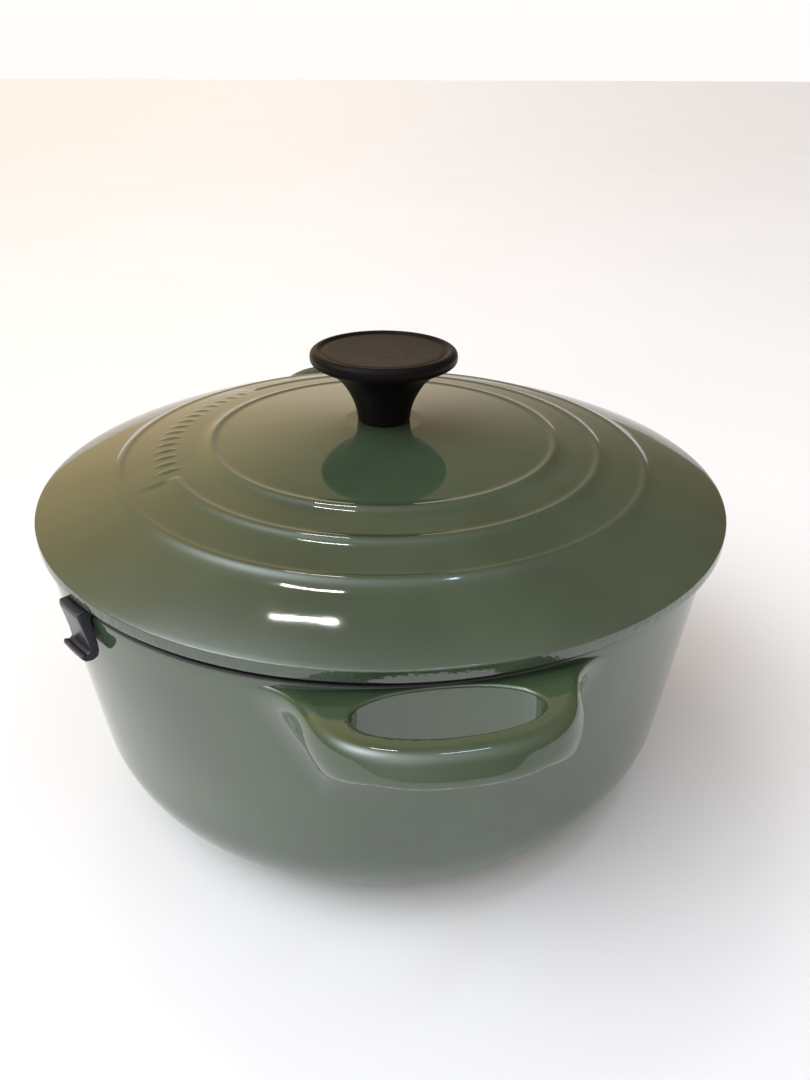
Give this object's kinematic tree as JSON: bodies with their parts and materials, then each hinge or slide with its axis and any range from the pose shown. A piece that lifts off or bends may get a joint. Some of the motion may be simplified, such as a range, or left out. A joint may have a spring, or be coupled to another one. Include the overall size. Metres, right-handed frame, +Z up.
{
  "type": "covered casserole dish",
  "caption": "Round cast-iron casserole with two loop handles, a domed lid with stepped rings, a screwed-on mushroom knob and a plastic rim clip; the lid lifts off.",
  "frame": {"origin": "middle of the flat base, on the surface the pot stands on", "axes": "+Z up along the pot's axis; +Y and -Y towards the two handles; X across"},
  "size_m": [0.228, 0.2816, 0.1514],
  "materials": {
    "enamel_pot": "glossy dark green vitreous enamel over cast iron, sand-coloured enamel inside, matte black rim",
    "enamel_lid": "glossy dark green vitreous enamel over cast iron, matte black where it meets the rim",
    "phenolic": "fine-grained black phenolic moulding with a slight sheen on its rim",
    "insert_brass": "machined brass",
    "fastener_steel": "bright stainless steel",
    "clip_plastic": "satin blue-black moulded plastic"
  },
  "bodies": {
    "pot": {"pot": "enamel_pot", "rim_clip": "clip_plastic"},
    "lid": {"lid": "enamel_lid", "knob": "phenolic", "knob_insert": "insert_brass", "knob_screw": "fastener_steel", "knob_washer": "fastener_steel"}
  },
  "joints": [
    {"name": "lid_lift", "type": "slide", "parent": "pot", "child": "lid", "axis": [0, 0, 1], "range_m": [0, 0.15]}
  ]
}
